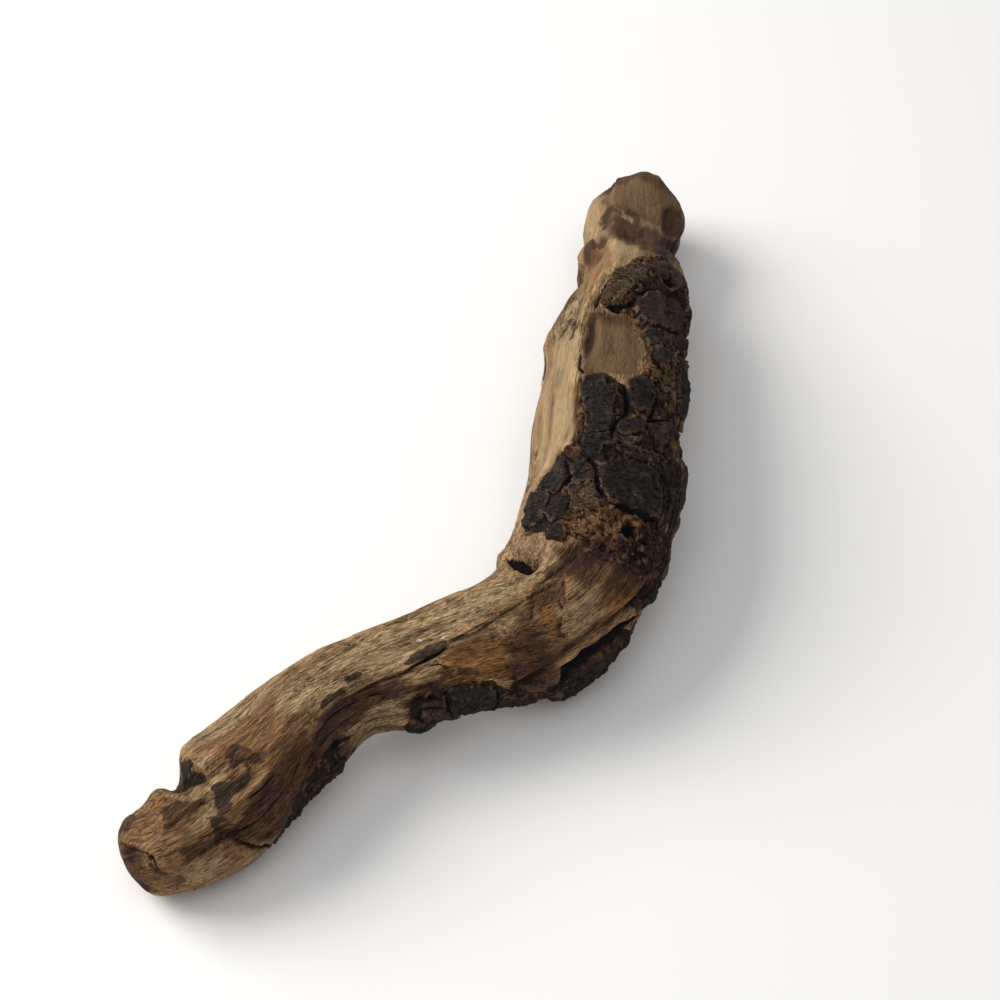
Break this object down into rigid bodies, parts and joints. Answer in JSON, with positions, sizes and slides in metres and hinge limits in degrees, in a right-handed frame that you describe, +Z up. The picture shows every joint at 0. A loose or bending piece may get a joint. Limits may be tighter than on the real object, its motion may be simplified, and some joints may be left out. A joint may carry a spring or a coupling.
{
  "type": "piece of driftwood",
  "caption": "Bent piece of weathered driftwood branch with patches of old cracked bark, lying on three low worn spots.",
  "frame": {"origin": "bottom centre of the box round the piece, on the surface it lies on", "axes": "+Z up as it lies, +X from the thinner near end to the knobbed far end, the elbow bulges towards -Y"},
  "size_m": [0.3075, 0.096, 0.0543],
  "materials": {
    "driftwood": "weathered bare wood with charcoal bark, matt"
  },
  "bodies": {
    "root": {"driftwood": "driftwood"}
  },
  "joints": []
}
